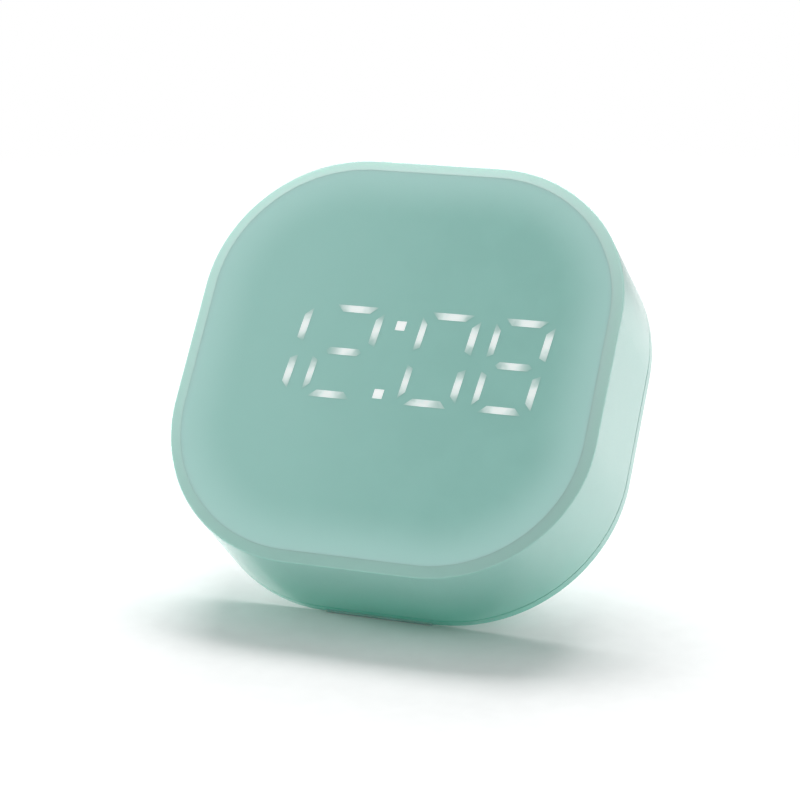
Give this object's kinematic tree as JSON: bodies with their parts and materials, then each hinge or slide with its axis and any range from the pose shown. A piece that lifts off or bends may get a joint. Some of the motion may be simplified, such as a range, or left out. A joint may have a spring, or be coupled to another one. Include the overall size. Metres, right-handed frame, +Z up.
{
  "type": "alarm clock",
  "caption": "Small rounded-square LED alarm clock leaning back on a fold-out stand, with lit digits, rear keys, alarm slide switch and charging socket.",
  "frame": {"origin": "on the table under the middle of the clock's box, as it leans back on its lower rear edge and its open stand", "axes": "+X to the reader's right, -Y towards the reader, +Z up; the face leans back 38 degrees from upright"},
  "size_m": [0.0888, 0.073, 0.0839],
  "materials": {
    "mint_case": "satin, slightly translucent mint",
    "milky_face": "satin, milky mint, lets the digits shine through",
    "mint_key": "satin",
    "white_knob": "satin",
    "white_film": "matt diffusing film",
    "white_plastic": "matt white",
    "lit_lens": "clear white, lit from behind",
    "circuit_board": "solder mask over copper tracks",
    "led_chip": "phosphor yellow",
    "zinc_steel": "zinc plated",
    "ribbon_film": "flat cable with printed conductors",
    "ivory_plastic": "matt",
    "chip_black": "moulded resin",
    "ferrite": "ferrite grey",
    "bright_can": "nickel plated",
    "capacitor_tan": "ceramic",
    "foil_pouch": "laminated foil",
    "foam": "closed-cell foam",
    "wire_jacket": "soft jacket",
    "clear_rubber": "soft, mint tinted"
  },
  "bodies": {
    "clock": {"front_shell": "mint_case", "rear_cover": "mint_case", "face_panel": "milky_face", "diffuser_film": "white_film", "light_block": "white_plastic", "segment_lenses": "lit_lens", "display_board": "circuit_board", "main_board": "circuit_board", "display_leds": "led_chip", "display_screws": "zinc_steel", "board_screws": "zinc_steel", "cover_screws": "zinc_steel", "hinge_pin": "zinc_steel", "display_ribbon": "ribbon_film", "ribbon_sockets": "ivory_plastic", "cell_plug": "ivory_plastic", "clock_controller": "chip_black", "charge_controller": "chip_black", "power_inductor": "ferrite", "timing_crystal": "bright_can", "chip_capacitors": "capacitor_tan", "buzzer": "chip_black", "socket_shell": "bright_can", "socket_tongue": "chip_black", "button_switches": "chip_black", "slide_switch_case": "bright_can", "cell": "foil_pouch", "cell_pad": "foam", "cell_lead": "wire_jacket", "foot_strip": "clear_rubber"},
    "set_key": {"set_button": "mint_key", "set_plunger": "white_knob"},
    "up_key": {"up_button": "mint_key", "up_plunger": "white_knob"},
    "down_key": {"down_button": "mint_key", "down_plunger": "white_knob"},
    "alarm_switch": {"alarm_slider": "white_knob"},
    "stand": {"kickstand": "mint_case", "stand_foot": "clear_rubber"}
  },
  "joints": [
    {"name": "set_press", "type": "slide", "parent": "clock", "child": "set_key", "axis": [0, -0.788, 0.6157], "range_m": [0, 0.0003], "stiffness_N_per_m": 2000},
    {"name": "up_press", "type": "slide", "parent": "clock", "child": "up_key", "axis": [0, -0.788, 0.6157], "range_m": [0, 0.0003], "stiffness_N_per_m": 2000},
    {"name": "down_press", "type": "slide", "parent": "clock", "child": "down_key", "axis": [0, -0.788, 0.6157], "range_m": [0, 0.0003], "stiffness_N_per_m": 2000},
    {"name": "alarm_slide", "type": "slide", "parent": "clock", "child": "alarm_switch", "axis": [1, 0, 0], "range_m": [0, 0.002]},
    {"name": "stand_fold", "type": "hinge", "parent": "clock", "child": "stand", "pos_m": [0, 0.01225, 0.04154], "axis": [1, 0, 0], "range_deg": [-42, 0]}
  ]
}
